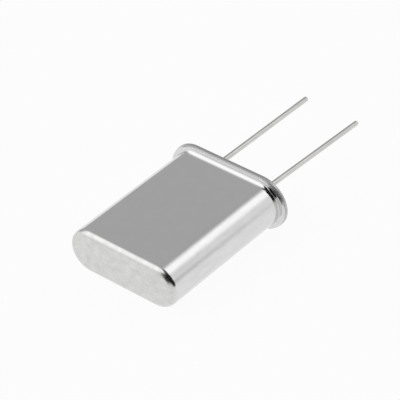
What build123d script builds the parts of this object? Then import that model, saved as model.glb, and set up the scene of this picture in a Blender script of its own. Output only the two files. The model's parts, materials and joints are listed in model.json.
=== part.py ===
from build123d import *
from math import asin, atan2, degrees, hypot, sqrt
import os

# Quartz crystal in a tall two-lead metal can, sizes in millimetres.
# It is drawn standing on its seating face at z = 0, leads down and wide way along X,
# and laid on its flat side at the end.

# Cover: one drawn cup of thin plated sheet, with a flange turned out at its mouth
CAN_WIDTH = 10.2
CAN_DEPTH = 3.75
HEIGHT = 13.2
CAN_WALL = 0.25
TOP_EDGE_RADIUS = 0.58
FLANGE_OVERHANG = 0.45
FLANGE_LAND = 0.09
WELD_RING = 0.28
FLANGE_EDGE_CHAMFER = 0.05

# Base: one stamped plate, its middle pushed up into the cover as a shallow pan
BASE_FLANGE = 0.35
BASE_SHEET = 0.35
PAN_RISE = 0.9
PAN_CLEARANCE = 0.12
PAN_TOP_RADIUS = 0.42
PAN_FOOT_CHAMFER = 0.1
RECESS_MOUTH_RADIUS = 0.3
EYELET_WALL = 0.22
EYELET_LENGTH = 0.55

# Leads and their glass beads
LEAD_PITCH = 4.88
LEAD_DIAMETER = 0.43
LEAD_LENGTH = 13.1
LEAD_TIP_CHAMFER = 0.05
LEAD_INNER_LENGTH = 0.5
LEAD_SWELL = 0.02
LEAD_HEAD_DIAMETER = 0.95
LEAD_HEAD_HEIGHT = 0.18
BEAD_DIAMETER = 1.6
BEAD_CREEP = 0.16

# Springs: punched strips welded on the lead heads, slotted for the blank's rim
STRIP_THICKNESS = 0.12
STRIP_WIDTH = 1.1
STRIP_BEND_RADIUS = 0.25
STRIP_TOE = 0.55
STRIP_ABOVE_SLOT = 0.5
SLOT_CLEARANCE = 0.03
SLOT_END_CLEARANCE = 0.1
RIM_BITE = 0.06

# Blank: a thin round quartz plate with a silver film and a tab on each face
BLANK_TO_CAN = 0.85
BLANK_THICKNESS = 0.2
BLANK_BEVEL = 0.05
FILM_DIAMETER = 4.6
FILM_TAB_WIDTH = 1.0
FILM_THICKNESS = 0.03
FILM_RIM_MARGIN = 0.12
DAB_RADIUS = 0.42
DAB_THICKNESS = 0.56
DAB_EDGE_CHAMFER = 0.14

# Sizes and levels that follow from the ones above
flange_width = CAN_WIDTH + 2 * FLANGE_OVERHANG
flange_depth = CAN_DEPTH + 2 * FLANGE_OVERHANG
flange_top = BASE_FLANGE + CAN_WALL
neck_radius = FLANGE_OVERHANG - FLANGE_LAND
mouth_chamfer = CAN_WALL + FLANGE_OVERHANG - WELD_RING
inner_width = CAN_WIDTH - 2 * CAN_WALL
inner_depth = CAN_DEPTH - 2 * CAN_WALL
inner_top = HEIGHT - CAN_WALL
pan_width = inner_width - 2 * PAN_CLEARANCE
pan_depth = inner_depth - 2 * PAN_CLEARANCE
pan_top = BASE_FLANGE + PAN_RISE
recess_width = pan_width - 2 * BASE_SHEET
recess_depth = pan_depth - 2 * BASE_SHEET
recess_top = pan_top - BASE_SHEET
eyelet_bottom = recess_top - EYELET_LENGTH
lead_radius = LEAD_DIAMETER / 2
head_bottom = pan_top + LEAD_INNER_LENGTH
head_top = head_bottom + LEAD_HEAD_HEIGHT
swell_bottom = eyelet_bottom - BEAD_CREEP
swell_slope = LEAD_SWELL / (head_bottom - swell_bottom)
blank_radius = inner_width / 2 - BLANK_TO_CAN
blank_centre = (head_top + inner_top) / 2
arm_inside = blank_radius - RIM_BITE
arm_outside = arm_inside + STRIP_THICKNESS
slot_half = sqrt(blank_radius**2 - arm_inside**2) + SLOT_END_CLEARANCE
sides = {"left": -1, "right": 1}


def stadium(width, depth, bottom, top):
    """An upright block with straight long sides and full-round ends."""
    return Pos(0, 0, bottom) * extrude(SlotOverall(width, depth), top - bottom)


def loop_at(shape, level, depth, nearness=0.005):
    """The stadium-shaped loop of edges at one level whose long sides are one depth apart."""
    def on_loop(edge):
        box = edge.bounding_box()
        return min(abs(box.max.Y - depth / 2), abs(box.min.Y + depth / 2)) < nearness

    flat_edges = shape.edges().filter_by_position(Axis.Z, level - nearness, level + nearness)
    return flat_edges.filter_by(on_loop)


def can():
    """The cover: a drawn cup with rounded top edges and a rounded neck above its weld flange."""
    cup = stadium(CAN_WIDTH, CAN_DEPTH, BASE_FLANGE, HEIGHT)
    cup = fillet(loop_at(cup, HEIGHT, CAN_DEPTH), TOP_EDGE_RADIUS)
    cup += stadium(flange_width, flange_depth, BASE_FLANGE, flange_top)
    cup = fillet(loop_at(cup, flange_top, CAN_DEPTH), neck_radius)
    cup = chamfer(loop_at(cup, flange_top, flange_depth), FLANGE_EDGE_CHAMFER)
    cup = chamfer(loop_at(cup, BASE_FLANGE, flange_depth), FLANGE_EDGE_CHAMFER)
    cavity = stadium(inner_width, inner_depth, BASE_FLANGE, inner_top)
    cavity = fillet(loop_at(cavity, inner_top, inner_depth), TOP_EDGE_RADIUS - CAN_WALL)
    cup -= cavity
    underside = cup.faces().sort_by(Axis.Z)[0]
    mouth = loop_at(cup, BASE_FLANGE, inner_depth)
    return chamfer(mouth, mouth_chamfer, CAN_WALL, reference=underside)


def header_base():
    """The base: a stamped pan with a flange and two eyelets drawn down around the glass."""
    base = stadium(flange_width, flange_depth, 0, BASE_FLANGE)
    base = chamfer(loop_at(base, 0, flange_depth), FLANGE_EDGE_CHAMFER)
    base = chamfer(loop_at(base, BASE_FLANGE, flange_depth), FLANGE_EDGE_CHAMFER)
    base += stadium(pan_width, pan_depth, BASE_FLANGE, pan_top)
    base = chamfer(loop_at(base, BASE_FLANGE, pan_depth), PAN_FOOT_CHAMFER)
    base = fillet(loop_at(base, pan_top, pan_depth), PAN_TOP_RADIUS)
    base -= stadium(recess_width, recess_depth, 0, recess_top)
    base = fillet(loop_at(base, 0, recess_depth), RECESS_MOUTH_RADIUS)
    eyelet_radius = BEAD_DIAMETER / 2 + EYELET_WALL
    for side in sides.values():
        middle = side * LEAD_PITCH / 2
        base += Pos(middle, 0, eyelet_bottom) * extrude(Circle(eyelet_radius), EYELET_LENGTH)
        base -= Pos(middle, 0, eyelet_bottom) * extrude(Circle(BEAD_DIAMETER / 2), pan_top)
    return base


def glass_seal(side):
    """One glass bead, melted into its eyelet and creeping a little way along the lead."""
    bead_radius = BEAD_DIAMETER / 2
    creep_top = pan_top + BEAD_CREEP
    bore_at_top = lead_radius + swell_slope * (creep_top - swell_bottom)
    outline = Polyline((lead_radius, swell_bottom), (lead_radius + BEAD_CREEP, eyelet_bottom),
                       (bead_radius, eyelet_bottom), (bead_radius, pan_top),
                       (bore_at_top + BEAD_CREEP, pan_top), (bore_at_top, creep_top), close=True)
    bead = revolve(Plane.XZ * make_face(outline), Axis.Z)
    return Pos(side * LEAD_PITCH / 2, 0, 0) * bead


def lead(side):
    """One headed wire: a cropped outer tip, a shank that swells a little up to a flat head."""
    head_radius = LEAD_HEAD_DIAMETER / 2
    outline = Polyline((0, -LEAD_LENGTH), (lead_radius, -LEAD_LENGTH), (lead_radius, swell_bottom),
                       (lead_radius + LEAD_SWELL, head_bottom), (head_radius, head_bottom),
                       (head_radius, head_top), (0, head_top), close=True)
    wire = revolve(Plane.XZ * make_face(outline), Axis.Z)
    wire = chamfer(wire.edges().sort_by(Axis.Z)[0], LEAD_TIP_CHAMFER)
    return Pos(side * LEAD_PITCH / 2, 0, 0) * wire


def spring_clip(side):
    """One spring: a toe on the lead's head, a bend, and an arm with a slot for the blank."""
    toe_start = LEAD_PITCH / 2 - STRIP_TOE
    arm_top = blank_centre + slot_half + STRIP_ABOVE_SLOT
    toe_run = Rectangle(arm_outside - toe_start, STRIP_THICKNESS, align=(Align.MIN, Align.MIN))
    arm_run = Rectangle(STRIP_THICKNESS, arm_top - head_top, align=(Align.MIN, Align.MIN))
    profile = Pos(toe_start, head_top) * toe_run + Pos(arm_inside, head_top) * arm_run
    bends = (((arm_inside, head_top + STRIP_THICKNESS, 0), STRIP_BEND_RADIUS),
             ((arm_outside, head_top, 0), STRIP_BEND_RADIUS + STRIP_THICKNESS))
    for corner, radius in bends:
        profile = fillet(profile.vertices().sort_by_distance(corner)[0], radius)
    strip = extrude(Plane.XZ * profile, STRIP_WIDTH / 2, both=True)
    slot_width = BLANK_THICKNESS + 2 * SLOT_CLEARANCE
    slot = Box(4 * STRIP_THICKNESS, slot_width, 2 * slot_half)
    strip -= Pos(arm_inside + STRIP_THICKNESS / 2, 0, blank_centre) * slot
    return strip if side > 0 else mirror(strip, Plane.YZ)


def quartz_blank():
    """The resonator: a thin round plate standing on edge, with bevelled rims."""
    plate = extrude(Plane.XZ * Circle(blank_radius), BLANK_THICKNESS / 2, both=True)
    return Pos(0, 0, blank_centre) * chamfer(plate.edges().filter_by(GeomType.CIRCLE), BLANK_BEVEL)


def electrode(on_front, side):
    """One silver film: a round spot with a tab running out to the rim at its own spring."""
    reach = blank_radius - FILM_RIM_MARGIN
    tab = Pos(side * reach / 2, 0) * Rectangle(reach, FILM_TAB_WIDTH)
    keyhole = (Circle(FILM_DIAMETER / 2) + tab) & Circle(reach)
    film = extrude(Plane.XZ * keyhole, FILM_THICKNESS)
    rear_side_of_film = -BLANK_THICKNESS / 2 if on_front else BLANK_THICKNESS / 2 + FILM_THICKNESS
    return Pos(0, rear_side_of_film, blank_centre) * film


def adhesive_dab(side, neighbours):
    """One dab of conductive cement, wrapped round the rim where it passes its spring."""
    dab = extrude(Plane.XZ * Circle(DAB_RADIUS), DAB_THICKNESS / 2, both=True)
    dab = chamfer(dab.edges().filter_by(GeomType.CIRCLE), DAB_EDGE_CHAMFER)
    dab = Pos(side * (arm_inside + STRIP_THICKNESS / 2), 0, blank_centre) * dab
    for neighbour in neighbours:
        dab -= neighbour
    return dab


def lay_down(pieces):
    """Tip the standing crystal on its flat side, where the flange and the far edge touch the floor."""
    drop = flange_depth / 2 - (CAN_DEPTH / 2 - TOP_EDGE_RADIUS)
    run = (HEIGHT - TOP_EDGE_RADIUS) - (flange_top - FLANGE_EDGE_CHAMFER)
    lean = degrees(atan2(drop, run) - asin(TOP_EDGE_RADIUS / hypot(drop, run)))
    tipped = {name: Rot(X=90 + lean) * piece for name, piece in pieces.items()}
    box = Compound(list(tipped.values())).bounding_box()
    to_origin = Pos(0, -(box.min.Y + box.max.Y) / 2, -box.min.Z)
    return {name: to_origin * piece for name, piece in tipped.items()}


pieces = {"can": can(), "header_base": header_base(), "quartz_blank": quartz_blank()}
for word, side in sides.items():
    film_name = "electrode_front" if word == "left" else "electrode_rear"
    pieces[film_name] = electrode(word == "left", side)
    pieces[f"glass_seal_{word}"] = glass_seal(side)
    pieces[f"lead_{word}"] = lead(side)
    pieces[f"spring_clip_{word}"] = spring_clip(side)
    touched = (pieces["quartz_blank"], pieces[f"spring_clip_{word}"], pieces[film_name])
    pieces[f"adhesive_dab_{word}"] = adhesive_dab(side, touched)

os.makedirs("parts", exist_ok=True)
for name, piece in lay_down(pieces).items():
    export_step(piece, f"parts/{name}.step")
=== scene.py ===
import json
from math import atan2, copysign, cos, hypot, pi, radians, sin

import bmesh
import bpy
from mathutils import Matrix, Vector


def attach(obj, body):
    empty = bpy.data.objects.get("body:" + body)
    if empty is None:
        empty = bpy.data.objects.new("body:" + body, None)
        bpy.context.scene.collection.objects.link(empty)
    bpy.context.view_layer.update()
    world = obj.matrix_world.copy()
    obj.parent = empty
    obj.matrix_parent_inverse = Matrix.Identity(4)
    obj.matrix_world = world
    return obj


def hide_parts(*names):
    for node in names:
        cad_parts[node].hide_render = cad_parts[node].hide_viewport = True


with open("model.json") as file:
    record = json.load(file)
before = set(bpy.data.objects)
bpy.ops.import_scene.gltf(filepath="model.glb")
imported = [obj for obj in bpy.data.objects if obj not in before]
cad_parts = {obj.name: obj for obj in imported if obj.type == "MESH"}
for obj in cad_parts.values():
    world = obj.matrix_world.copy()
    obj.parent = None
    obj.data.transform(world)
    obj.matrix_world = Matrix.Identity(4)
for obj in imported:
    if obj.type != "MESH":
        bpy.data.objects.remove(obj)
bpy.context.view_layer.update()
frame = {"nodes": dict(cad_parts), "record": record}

# Stamped header base: one plate of nickel-plated steel, its middle pushed up into the can as a
# shallow pan, with two eyelets drawn down for the glass. It is modelled standing on its seating
# face, wide way along X and leads down, and laid on the crystal's flat side at the end.
can_width = 0.0102
can_depth = 0.00375
can_wall = 0.00025
flange_overhang = 0.00045
base_flange = 0.00029
base_sheet = 0.00035
pan_rise = 0.00096
pan_clearance = 0.00012
pan_top_radius = 0.00042
pan_foot_radius = 0.0001
recess_mouth_radius = 0.0003
rim_rounding = 0.00006
seam_rounding = 0.00003
flat_margin = 0.00004
bead_radius = 0.0008
eyelet_wall = 0.00022
eyelet_length = 0.00055
eyelet_root_radius = 0.00009
eyelet_lip_radius = 0.00007
lead_pitch = 0.00488
end_steps = 56
tube_steps = 48
bend_steps = 8
rim_steps = 5
small_steps = 4
same_point = 1e-8
same_ring = 2e-7
sides = {"left": -1, "right": 1}

half_run = (can_width - can_depth) / 2
can_reach = can_depth / 2
flange_reach = can_reach + flange_overhang
pan_reach = can_reach - can_wall - pan_clearance
pan_top = base_flange + pan_rise
recess_reach = pan_reach - base_sheet
recess_top = pan_top - base_sheet
eyelet_reach = bead_radius + eyelet_wall
eyelet_bottom = recess_top - eyelet_length

mounts = {mount["name"]: mount for mount in frame["record"]["mounts"]}
towards_tips = Vector(mounts["seating_face"]["axis"])
on_seat = Vector(mounts["seating_face"]["pos_m"])
between_leads = sum((Vector(mounts[f"lead_{side}"]["pos_m"]) for side in sides), Vector()) / 2
seat_middle = between_leads - towards_tips * (between_leads - on_seat).dot(towards_tips)
wide_way = Vector((1, 0, 0))
thin_way = wide_way.cross(towards_tips)
laid_down = Matrix((wide_way, thin_way, -towards_tips)).transposed().to_4x4()
laid_down.translation = seat_middle


def kinds(parts, kind):
    """The vertices, edges or faces among what a mesh operator returned."""
    return [part for part in parts if isinstance(part, kind)]


def add_section(shell, corners, x):
    """Draw a half section at x from its (reach, level) corners; return its points and edges."""
    points = [shell.verts.new((x, -reach, level)) for reach, level in corners]
    return points + [shell.edges.new(pair) for pair in zip(points, points[1:])]


def sweep_round_ended(shell, corners):
    """Carry a half section once round the slot-shaped path that the can and its base share."""
    trail = add_section(shell, corners, half_run)
    for side in (1, -1):
        turned = bmesh.ops.spin(shell, geom=trail, cent=(side * half_run, 0, 0), axis=(0, 0, 1),
                                angle=pi, steps=end_steps)
        turned_edges = kinds(turned["geom_last"], bmesh.types.BMEdge)
        run = bmesh.ops.extrude_edge_only(shell, edges=turned_edges)["geom"]
        points = kinds(run, bmesh.types.BMVert)
        bmesh.ops.translate(shell, verts=points, vec=(-2 * side * half_run, 0, 0))
        trail = points + [edge for edge in kinds(run, bmesh.types.BMEdge)
                          if edge.verts[0] in points and edge.verts[1] in points]
    bmesh.ops.remove_doubles(shell, verts=shell.verts, dist=same_point)


def turn_section(shell, corners, x):
    """Turn a half section once round a lead's axis."""
    trail = add_section(shell, corners, x)
    bmesh.ops.spin(shell, geom=trail, cent=(x, 0, 0), axis=(0, 0, 1), angle=2 * pi,
                   steps=tube_steps, use_merge=True)
    bmesh.ops.remove_doubles(shell, verts=shell.verts, dist=same_point)


def ring(shell, reach, level, x=None):
    """The loop of edges that one corner drew, on the slot path or round a lead's axis at x."""
    def on_ring(point):
        beyond = max(abs(point.co.x) - half_run, 0) if x is None else point.co.x - x
        return (abs(hypot(beyond, point.co.y) - reach) < same_ring
                and abs(point.co.z - level) < same_ring)

    return [edge for edge in shell.edges if all(on_ring(point) for point in edge.verts)]


def round_ring(shell, reach, level, radius, steps, x=None):
    """Round the sharp corner that a ring of edges makes."""
    bmesh.ops.bevel(shell, geom=ring(shell, reach, level, x), offset=radius, offset_type="OFFSET",
                    segments=steps, profile=0.5, affect="EDGES", material=-1, clamp_overlap=False)


def finish_piece(shell, name, node, material):
    """Lay a standing piece down with the rest, smooth it, and let it stand for its node."""
    bmesh.ops.recalc_face_normals(shell, faces=shell.faces)
    for face in shell.faces:
        face.smooth = True
    mesh = bpy.data.meshes.new(name)
    shell.to_mesh(mesh)
    shell.free()
    mesh.transform(laid_down)
    mesh.materials.append(material)
    piece = bpy.data.objects.new(name, mesh)
    bpy.context.scene.collection.objects.link(piece)
    weighted = piece.modifiers.new("flat faces stay flat", "WEIGHTED_NORMAL")
    weighted.mode = "FACE_AREA"
    weighted.weight = 100
    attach(piece, "root")
    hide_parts(node)


def add_node(tree, kind, inputs=None, **settings):
    """Add a shader node. An input that is a socket gets linked, and any other is set."""
    added = tree.nodes.new(kind)
    for name, value in settings.items():
        setattr(added, name, value)
    for name, value in (inputs or {}).items():
        if isinstance(value, bpy.types.NodeSocket):
            tree.links.new(value, added.inputs[name])
        else:
            added.inputs[name].default_value = value
    return added


def new_material(name):
    """An empty node material; returns it with its tree, its shader and its coordinates."""
    material = bpy.data.materials.new(name)
    material.use_nodes = True
    tree = material.node_tree
    tree.nodes.clear()
    shader = add_node(tree, "ShaderNodeBsdfPrincipled")
    add_node(tree, "ShaderNodeOutputMaterial", {"Surface": shader.outputs["BSDF"]})
    place = add_node(tree, "ShaderNodeTexCoord").outputs["Object"]
    return material, tree, shader, place


def noise(tree, place, grains, detail=2.0, stretch=(1, 1, 1)):
    """A noise pattern on the piece, with so many grains a metre, stretched along an axis."""
    turned = add_node(tree, "ShaderNodeMapping", {"Vector": place, "Scale": stretch})
    return add_node(tree, "ShaderNodeTexNoise", {"Vector": turned.outputs["Vector"],
                    "Scale": grains, "Detail": detail}).outputs["Fac"]


def spread(tree, value, low, high, start=0.3, end=0.7):
    """Map a pattern's middle range to the range of a finish."""
    return add_node(tree, "ShaderNodeMapRange", {"Value": value, "From Min": start,
                    "From Max": end, "To Min": low, "To Max": high}).outputs["Result"]


def blend_colour(tree, share, first, second):
    """Mix two colours by a pattern."""
    return add_node(tree, "ShaderNodeMix", {"Factor": share, 6: first, 7: second},
                    data_type="RGBA").outputs[2]


def plated_metal(name, light, dark, rough, bump_height):
    """Bright plating on drawn sheet: faint cloudy colour, uneven gloss, fine orange peel."""
    material, tree, shader, place = new_material(name)
    clouds = noise(tree, place, grains=900, detail=4)
    grain = noise(tree, place, grains=5200, detail=2)
    peel = noise(tree, place, grains=3600, detail=3)
    shade = spread(tree, clouds, 0, 1)
    tree.links.new(blend_colour(tree, shade, light, dark), shader.inputs["Base Color"])
    tree.links.new(spread(tree, grain, *rough), shader.inputs["Roughness"])
    bump = add_node(tree, "ShaderNodeBump", {"Height": peel, "Distance": bump_height,
                    "Strength": 1.0})
    tree.links.new(bump.outputs["Normal"], shader.inputs["Normal"])
    shader.inputs["Metallic"].default_value = 1.0
    return material


base_nickel = plated_metal("base_nickel", light=(0.53, 0.53, 0.525, 1), dark=(0.49, 0.49, 0.485, 1),
                           rough=(0.26, 0.38), bump_height=0.0000003)
base = bmesh.new()
pan_flat_reach = pan_reach - pan_top_radius - flat_margin
sweep_round_ended(base, [(pan_flat_reach, pan_top), (pan_reach, pan_top),
                         (pan_reach, base_flange), (flange_reach, base_flange),
                         (flange_reach, 0), (recess_reach, 0), (recess_reach, recess_top)])
round_ring(base, pan_reach, pan_top, pan_top_radius, bend_steps)
round_ring(base, pan_reach, base_flange, pan_foot_radius, small_steps)
round_ring(base, flange_reach, base_flange, seam_rounding, small_steps)
round_ring(base, flange_reach, 0, rim_rounding, rim_steps)
round_ring(base, recess_reach, 0, recess_mouth_radius, bend_steps)
pan_rims = ring(base, pan_flat_reach, pan_top)
recess_rims = ring(base, recess_reach, recess_top)
for side in sides.values():
    axis_x = side * lead_pitch / 2
    root_reach = eyelet_reach + eyelet_root_radius
    turn_section(base, [(root_reach, recess_top), (eyelet_reach, recess_top),
                        (eyelet_reach, eyelet_bottom), (bead_radius, eyelet_bottom),
                        (bead_radius, pan_top)], axis_x)
    round_ring(base, eyelet_reach, eyelet_bottom, eyelet_lip_radius, small_steps, axis_x)
    round_ring(base, bead_radius, eyelet_bottom, eyelet_lip_radius, small_steps, axis_x)
    recess_rims += ring(base, root_reach, recess_top, axis_x)
    pan_rims += ring(base, bead_radius, pan_top, axis_x)
for rims in (pan_rims, recess_rims):
    bmesh.ops.triangle_fill(base, edges=rims, use_beauty=True, normal=(0, 0, 1))
finish_piece(base, "stamped_base", "header_base", base_nickel)

# Leads: two wires of tinned iron-nickel alloy, cropped and dressed round at the outer end and
# headed flat at the inner end. Each swells a little from where the glass starts to its head, and
# handling has bent it a degree or two out of true below the glass.
lead_radius = 0.000215
lead_length = 0.01308
lead_inner_length = 0.0005
lead_swell = 0.00002
lead_head_radius = 0.000475
lead_head_height = 0.00018
bead_creep = 0.00016
tip_roundings = {"left": 0.00009, "right": 0.00016}
tip_steps = 6
leans = {"left": (-0.005, -0.022), "right": (0.012, -0.035)}

head_bottom = pan_top + lead_inner_length
head_top = head_bottom + lead_head_height
swell_bottom = eyelet_bottom - bead_creep

tinned_wire = plated_metal("tinned_wire", light=(0.66, 0.655, 0.64, 1), dark=(0.60, 0.595, 0.58, 1),
                           rough=(0.16, 0.3), bump_height=0.0000003)
for side_name, side in sides.items():
    wire = bmesh.new()
    axis_x = side * lead_pitch / 2
    turn_section(wire, [(0, -lead_length), (lead_radius, -lead_length),
                        (lead_radius, swell_bottom), (lead_radius + lead_swell, head_bottom),
                        (lead_head_radius, head_bottom), (lead_head_radius, head_top),
                        (0, head_top)], axis_x)
    round_ring(wire, lead_radius, -lead_length, tip_roundings[side_name], tip_steps, axis_x)
    free_length = [point for point in wire.verts if point.co.z < swell_bottom - same_ring]
    bmesh.ops.transform(wire, verts=free_length, space=Matrix.Translation((0, 0, -swell_bottom)),
                        matrix=Matrix.Shear("XY", 4, [-part for part in leans[side_name]]))
    finish_piece(wire, f"{side_name}_wire", f"lead_{side_name}", tinned_wire)

# Glass beads: dark green sealing glass, melted between each lead and its eyelet. It wets the
# wire and creeps a little way along it at both ends.
glass_sleeve = 0.000004
creep_steps = 6

seal_glass, glass_tree, glass_shader, glass_place = new_material("seal_glass")
swirl = noise(glass_tree, glass_place, grains=2600, detail=3)
glass_colour = blend_colour(glass_tree, spread(glass_tree, swirl, 0, 1),
                            (0.030, 0.052, 0.045, 1), (0.055, 0.080, 0.070, 1))
glass_tree.links.new(glass_colour, glass_shader.inputs["Base Color"])
glass_tree.links.new(spread(glass_tree, swirl, 0.06, 0.16), glass_shader.inputs["Roughness"])
glass_shader.inputs["IOR"].default_value = 1.52
for side_name, side in sides.items():
    bead = bmesh.new()
    axis_x = side * lead_pitch / 2
    swell_slope = lead_swell / (head_bottom - swell_bottom)
    bore = lead_radius + glass_sleeve
    bore_at_top = bore + swell_slope * (pan_top - swell_bottom)
    creep_top = pan_top + bead_creep
    turn_section(bead, [(lead_radius, swell_bottom), (bore, swell_bottom), (bore, eyelet_bottom),
                        (bead_radius, eyelet_bottom), (bead_radius, pan_top),
                        (bore_at_top, pan_top), (bore_at_top, creep_top),
                        (bore_at_top - glass_sleeve, creep_top), (lead_radius, swell_bottom)],
                 axis_x)
    round_ring(bead, bore, eyelet_bottom, bead_creep - glass_sleeve, creep_steps, axis_x)
    round_ring(bead, bore_at_top, pan_top, bead_creep - glass_sleeve, creep_steps, axis_x)
    finish_piece(bead, f"{side_name}_glass_bead", f"glass_seal_{side_name}", seal_glass)

# Spring strips: two clips cut from thin nickel-silver sheet and bent to an L. The toe is
# spot-welded on a lead's head, and the slot in the upright arm holds the crystal's edge.
strip_nickel = plated_metal("strip_nickel", light=(0.63, 0.61, 0.57, 1), dark=(0.55, 0.53, 0.49, 1),
                            rough=(0.18, 0.34), bump_height=0.0000004)


def coat(material, *nodes):
    """Give a finish to the frame's own pieces, which keep their shape."""
    for node in nodes:
        for material_slot in frame["nodes"][node].material_slots:
            material_slot.material = material


coat(strip_nickel, "spring_clip_left", "spring_clip_right")

# Crystal: a thin round plate of clear quartz, lapped and polished, with a bevelled rim. Fine
# lapping marks are left in its faces.
lapped_quartz, quartz_tree, quartz_shader, quartz_place = new_material("lapped_quartz")
lapping = noise(quartz_tree, quartz_place, grains=7000, detail=4)
quartz_colour = blend_colour(quartz_tree, spread(quartz_tree, lapping, 0, 1),
                             (0.95, 0.97, 0.965, 1), (0.88, 0.91, 0.905, 1))
quartz_tree.links.new(quartz_colour, quartz_shader.inputs["Base Color"])
quartz_tree.links.new(spread(quartz_tree, lapping, 0.03, 0.14), quartz_shader.inputs["Roughness"])
quartz_marks = add_node(quartz_tree, "ShaderNodeBump", {"Height": lapping, "Distance": 0.0000002,
                        "Strength": 1.0})
quartz_tree.links.new(quartz_marks.outputs["Normal"], quartz_shader.inputs["Normal"])
quartz_shader.inputs["IOR"].default_value = 1.544
quartz_shader.inputs["Transmission Weight"].default_value = 1.0
coat(lapped_quartz, "quartz_blank")

# Electrodes: a round silver film evaporated on each face of the plate, with a tab out to the rim
# on its own lead's side.
silver_film = plated_metal("silver_film", light=(0.87, 0.86, 0.83, 1), dark=(0.79, 0.77, 0.72, 1),
                           rough=(0.1, 0.22), bump_height=0.0000001)
coat(silver_film, "electrode_front", "electrode_rear")

# Cement: a dab of silver-filled epoxy cured in each strip's slot. It grips the plate's edge and
# joins the film's tab to the strip.
silver_cement, cement_tree, cement_shader, cement_place = new_material("silver_cement")
flakes = noise(cement_tree, cement_place, grains=24000, detail=3)
lumps = noise(cement_tree, cement_place, grains=3500, detail=3)
cement_colour = blend_colour(cement_tree, spread(cement_tree, flakes, 0, 1),
                             (0.60, 0.59, 0.56, 1), (0.42, 0.41, 0.39, 1))
cement_tree.links.new(cement_colour, cement_shader.inputs["Base Color"])
cement_tree.links.new(spread(cement_tree, flakes, 0.4, 0.65), cement_shader.inputs["Roughness"])
cement_skin = add_node(cement_tree, "ShaderNodeBump", {"Height": lumps, "Distance": 0.00002,
                       "Strength": 0.8})
cement_tree.links.new(cement_skin.outputs["Normal"], cement_shader.inputs["Normal"])
cement_shader.inputs["Metallic"].default_value = 0.7
coat(silver_cement, "adhesive_dab_left", "adhesive_dab_right")

# Can: one cup deep-drawn from thin nickel-plated sheet, its closed end rounded over the punch.
# Its mouth turns out, tight round the ends and wider along the sides, into a flange with a
# sheared edge. A ring weld closes that on the base, and outside it the two stand a hair apart.
can_height = 0.0132
end_rounding = 0.00058
neck_rounding = 0.00005
left_neck = 0.00026
right_neck = 0.00005
side_neck_reach = 0.00033
side_neck_rise = 0.00056
neck_turn = radians(32)
flange_rounding = 0.00002
trim_draft = 0.00007
weld_gap = 0.00002
weld_ring = 0.00028
weld_width = 0.0001
end_edge_steps = 12
neck_steps = 10
drag_blend = 0.0008
end_blend = {"start": -0.01255, "end": -0.01295}
cut_depth = 0.00003
cut_blend = 0.00002

flange_top = base_flange + can_wall
weld_reach = flange_reach - weld_ring
inner_reach = can_reach - can_wall
inner_top = can_height - can_wall

# The plating is bright on the flat sides, streaked by the draw on the round ones, frosted on the
# closed end and dull on the sheared edge.
can_nickel, can_tree, can_shader, can_place = new_material("can_nickel")
can_split = add_node(can_tree, "ShaderNodeSeparateXYZ", {"Vector": can_place}).outputs
from_middle = add_node(can_tree, "ShaderNodeMath", {0: can_split["X"]},
                       operation="ABSOLUTE").outputs["Value"]
on_rounds = spread(can_tree, from_middle, 0, 1, half_run, half_run + drag_blend)
on_end = spread(can_tree, can_split["Y"], 0, 1, **end_blend)
level = add_node(can_tree, "ShaderNodeVectorMath", {0: can_place, 1: -towards_tips},
                 operation="DOT_PRODUCT").outputs["Value"]
cut_level = flange_top - cut_depth - towards_tips.dot(seat_middle)
on_cut = spread(can_tree, level, 1, 0, cut_level, cut_level + cut_blend)
clouds = noise(can_tree, can_place, grains=900, detail=4)
streaks = noise(can_tree, can_place, grains=2300, detail=3, stretch=(1, 0.3, 1))
mottling = noise(can_tree, can_place, grains=2000, detail=3)
drag_marks = add_node(can_tree, "ShaderNodeMath", {0: on_rounds, 1: spread(can_tree, streaks, 0, 1)},
                      operation="MULTIPLY").outputs["Value"]
wall_shade = blend_colour(can_tree, spread(can_tree, clouds, 0, 1), (0.725, 0.728, 0.725, 1),
                          (0.707, 0.71, 0.707, 1))
drawn_shade = blend_colour(can_tree, drag_marks, wall_shade, (0.665, 0.667, 0.66, 1))
end_shade = blend_colour(can_tree, spread(can_tree, mottling, 0, 1), (0.715, 0.715, 0.70, 1),
                         (0.64, 0.64, 0.627, 1))
can_tree.links.new(blend_colour(can_tree, on_end, drawn_shade, end_shade),
                   can_shader.inputs["Base Color"])
wall_gloss = spread(can_tree, noise(can_tree, can_place, grains=5200), 0.08, 0.14)
end_gloss = spread(can_tree, mottling, 0.2, 0.32)
can_gloss = add_node(can_tree, "ShaderNodeMix", {"Factor": on_end, 2: wall_gloss, 3: end_gloss},
                     data_type="FLOAT").outputs[0]
cut_gloss = spread(can_tree, noise(can_tree, can_place, grains=9000), 0.3, 0.4)
all_gloss = add_node(can_tree, "ShaderNodeMix", {"Factor": on_cut, 2: can_gloss, 3: cut_gloss},
                     data_type="FLOAT").outputs[0]
can_tree.links.new(all_gloss, can_shader.inputs["Roughness"])
can_peel = add_node(can_tree, "ShaderNodeBump", {"Height": mottling, "Distance": 0.0000003,
                    "Strength": 1.0})
can_tree.links.new(can_peel.outputs["Normal"], can_shader.inputs["Normal"])
can_shader.inputs["Metallic"].default_value = 1.0
can = bmesh.new()
sweep_round_ended(can, [(0, can_height), (can_reach, can_height), (can_reach, flange_top),
                        (flange_reach - trim_draft, flange_top),
                        (flange_reach, base_flange + weld_gap),
                        (weld_reach + weld_width, base_flange + weld_gap),
                        (weld_reach + weld_width, base_flange), (weld_reach, base_flange),
                        (inner_reach, flange_top), (inner_reach, inner_top), (0, inner_top)])
round_ring(can, can_reach, can_height, end_rounding, end_edge_steps)
round_ring(can, can_reach, flange_top, neck_rounding, neck_steps)
round_ring(can, flange_reach - trim_draft, flange_top, flange_rounding, rim_steps)
round_ring(can, flange_reach, base_flange + weld_gap, seam_rounding, small_steps)
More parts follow.
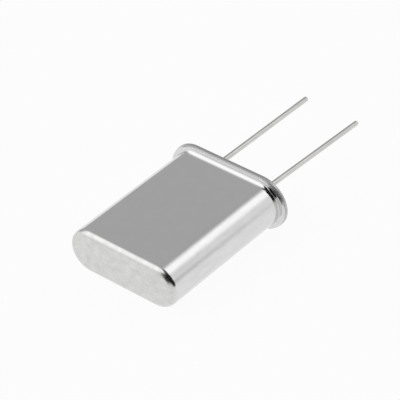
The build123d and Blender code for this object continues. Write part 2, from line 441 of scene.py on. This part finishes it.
round_ring(can, inner_reach, inner_top, end_rounding - can_wall, bend_steps)

# The neck's small even rounding is opened to its size at each place: each end has its own, and
# over the neck's turn it grows to the wide one of the flat sides.
for point in can.verts:
    beyond = max(abs(point.co.x) - half_run, 0)
    out = hypot(beyond, point.co.y) - can_reach
    up = point.co.z - flange_top
    if min(out, up) > -same_ring and max(out, up) < neck_rounding + same_ring:
        end_neck = left_neck if point.co.x < 0 else right_neck
        share = max(1 - (atan2(beyond, abs(point.co.y)) / neck_turn) ** 2, 0)
        neck_reach = end_neck + (side_neck_reach - end_neck) * share
        neck_rise = end_neck + (side_neck_rise - end_neck) * share
        outwards = Vector((copysign(beyond, point.co.x), point.co.y, 0)).normalized()
        point.co += outwards * out * (neck_reach / neck_rounding - 1)
        point.co.z += up * (neck_rise / neck_rounding - 1)
finish_piece(can, "drawn_can", "can", can_nickel)

# Floor: a wide sheet of matt white card. What the camera and the metal see of it is mostly an even
# white, and the rest is its true shading, which keeps the crystal's soft shadow.
floor_half = 1.0
white_share = 0.94

white_card = bpy.data.materials.new("white_card")
white_card.use_nodes = True
card_tree = white_card.node_tree
card_tree.nodes.clear()
card_paper = add_node(card_tree, "ShaderNodeBsdfDiffuse", {"Color": (0.9, 0.9, 0.9, 1)})
card_white = add_node(card_tree, "ShaderNodeEmission", {"Color": (1, 1, 1, 1), "Strength": 1.0})
card_path = add_node(card_tree, "ShaderNodeLightPath")
seen_or_mirrored = add_node(card_tree, "ShaderNodeMath", {0: card_path.outputs["Is Camera Ray"],
                            1: card_path.outputs["Is Glossy Ray"]}, operation="ADD")
seen_at_all = add_node(card_tree, "ShaderNodeMath", {0: seen_or_mirrored.outputs["Value"],
                       1: card_path.outputs["Is Transmission Ray"]}, operation="ADD")
card_share = add_node(card_tree, "ShaderNodeMath", {0: seen_at_all.outputs["Value"],
                      1: white_share}, operation="MULTIPLY")
card_mix = add_node(card_tree, "ShaderNodeMixShader", {0: card_share.outputs["Value"],
                    1: card_paper.outputs["BSDF"], 2: card_white.outputs["Emission"]})
add_node(card_tree, "ShaderNodeOutputMaterial", {"Surface": card_mix.outputs["Shader"]})

card_shell = bmesh.new()
bmesh.ops.create_grid(card_shell, x_segments=1, y_segments=1, size=floor_half)
floor_mesh = bpy.data.meshes.new("floor")
card_shell.to_mesh(floor_mesh)
card_shell.free()
floor_mesh.materials.append(white_card)
floor = bpy.data.objects.new("floor", floor_mesh)
bpy.context.scene.collection.objects.link(floor)

# Studio: a white light tent with three soft lamps high round it, a grey card standing behind the
# crystal, a dim gap in the tent's roof and the dark opening that the camera looks in through.
tent_light = 0.92
card_light = 0.489
gap_light = 0.16
lamp_light = 1.36
opening_light = 0.012
backdrop_light = 1.0
# An oval's values are its heading, height, half width, half height, softness and slant.
card_oval = (-45, 35, 50, 50, 0.15)
lamp_ovals = [(22, 51, 14, 14, 0.7), (-122, 47, 27, 27, 0.6), (-166, 64, 22, 22, 0.5)]
gap_oval = (58, 71, 16, 16, 0.35)
opening_ovals = [(82, 14, 24, 17, 0.35), (110, 42, 42, 29, 0.2, -8), (155, 30, 20, 26, 0.12)]

tent = bpy.data.worlds.new("light_tent")
bpy.context.scene.world = tent
tent.use_nodes = True
tent_tree = tent.node_tree
tent_tree.nodes.clear()
towards = add_node(tent_tree, "ShaderNodeTexCoord").outputs["Generated"]


def tent_math(operation, first, second=0.0):
    """One step of arithmetic on the tent's directions."""
    return add_node(tent_tree, "ShaderNodeMath", {0: first, 1: second},
                    operation=operation).outputs["Value"]


def tent_zone(heading, height, half_width, half_height, softness, slant=0):
    """How far a direction lies in a soft-edged oval of the tent. Angles are in degrees, a heading
    of 0 is +Y and 90 is +X, and the softness is the edge's share of the oval."""
    turned = towards
    for axis, angle in (("Z_AXIS", heading), ("X_AXIS", -height), ("Y_AXIS", slant)):
        turned = add_node(tent_tree, "ShaderNodeVectorRotate",
                          {"Vector": turned, "Angle": radians(angle)},
                          rotation_type=axis).outputs["Vector"]
    split = add_node(tent_tree, "ShaderNodeSeparateXYZ", {"Vector": turned}).outputs
    across = tent_math("DIVIDE", tent_math("ARCTAN2", split["X"], split["Y"]), radians(half_width))
    upward = tent_math("DIVIDE", tent_math("ARCSINE", split["Z"]), radians(half_height))
    offset = add_node(tent_tree, "ShaderNodeCombineXYZ", {"X": across, "Y": upward})
    away = add_node(tent_tree, "ShaderNodeVectorMath", {0: offset.outputs["Vector"]},
                    operation="LENGTH").outputs["Value"]
    return add_node(tent_tree, "ShaderNodeMapRange",
                    {"Value": away, "From Min": 1 - softness, "From Max": 1 + softness,
                     "To Min": 1.0, "To Max": 0.0}, interpolation_type="SMOOTHSTEP").outputs["Result"]


def lay_over(under, level, share):
    """Lay one even level of light over another."""
    return add_node(tent_tree, "ShaderNodeMix", {"Factor": share, 2: under, 3: level},
                    data_type="FLOAT").outputs[0]


light = lay_over(tent_light, card_light, tent_zone(*card_oval))
for lamp_oval in lamp_ovals:
    light = lay_over(light, lamp_light, tent_zone(*lamp_oval))
light = lay_over(light, gap_light, tent_zone(*gap_oval))
for opening_oval in opening_ovals:
    light = lay_over(light, opening_light, tent_zone(*opening_oval))
tent_path = add_node(tent_tree, "ShaderNodeLightPath")
light = lay_over(light, backdrop_light, tent_path.outputs["Is Camera Ray"])
tent_glow = add_node(tent_tree, "ShaderNodeBackground", {"Color": (1, 1, 1, 1), "Strength": light})
add_node(tent_tree, "ShaderNodeOutputWorld", {"Surface": tent_glow.outputs["Background"]})

# Camera: held level, well above the crystal's near corner, with a long lens that keeps the can's
# edges close to parallel.
camera_turn = radians(39.117)
camera_height = radians(36.33)
camera_distance = 0.168764
aim = Vector((-0.000892, -0.00266, 0.001988))
focal_pixels = 2185.634
frame_pixels = 400
sensor_width = 36

camera_data = bpy.data.cameras.new("camera")
camera_data.sensor_width = sensor_width
camera_data.lens = focal_pixels / frame_pixels * sensor_width
camera_data.clip_start = 0.001
camera_data.clip_end = 10
camera = bpy.data.objects.new("camera", camera_data)
back = Vector((sin(camera_turn) * cos(camera_height), -cos(camera_turn) * cos(camera_height),
               sin(camera_height)))
camera.location = aim + back * camera_distance
camera.rotation_mode = "QUATERNION"
camera.rotation_quaternion = (-back).to_track_quat("-Z", "Y")
bpy.context.scene.collection.objects.link(camera)
bpy.context.scene.camera = camera

bpy.context.scene.view_settings.view_transform = "Standard"
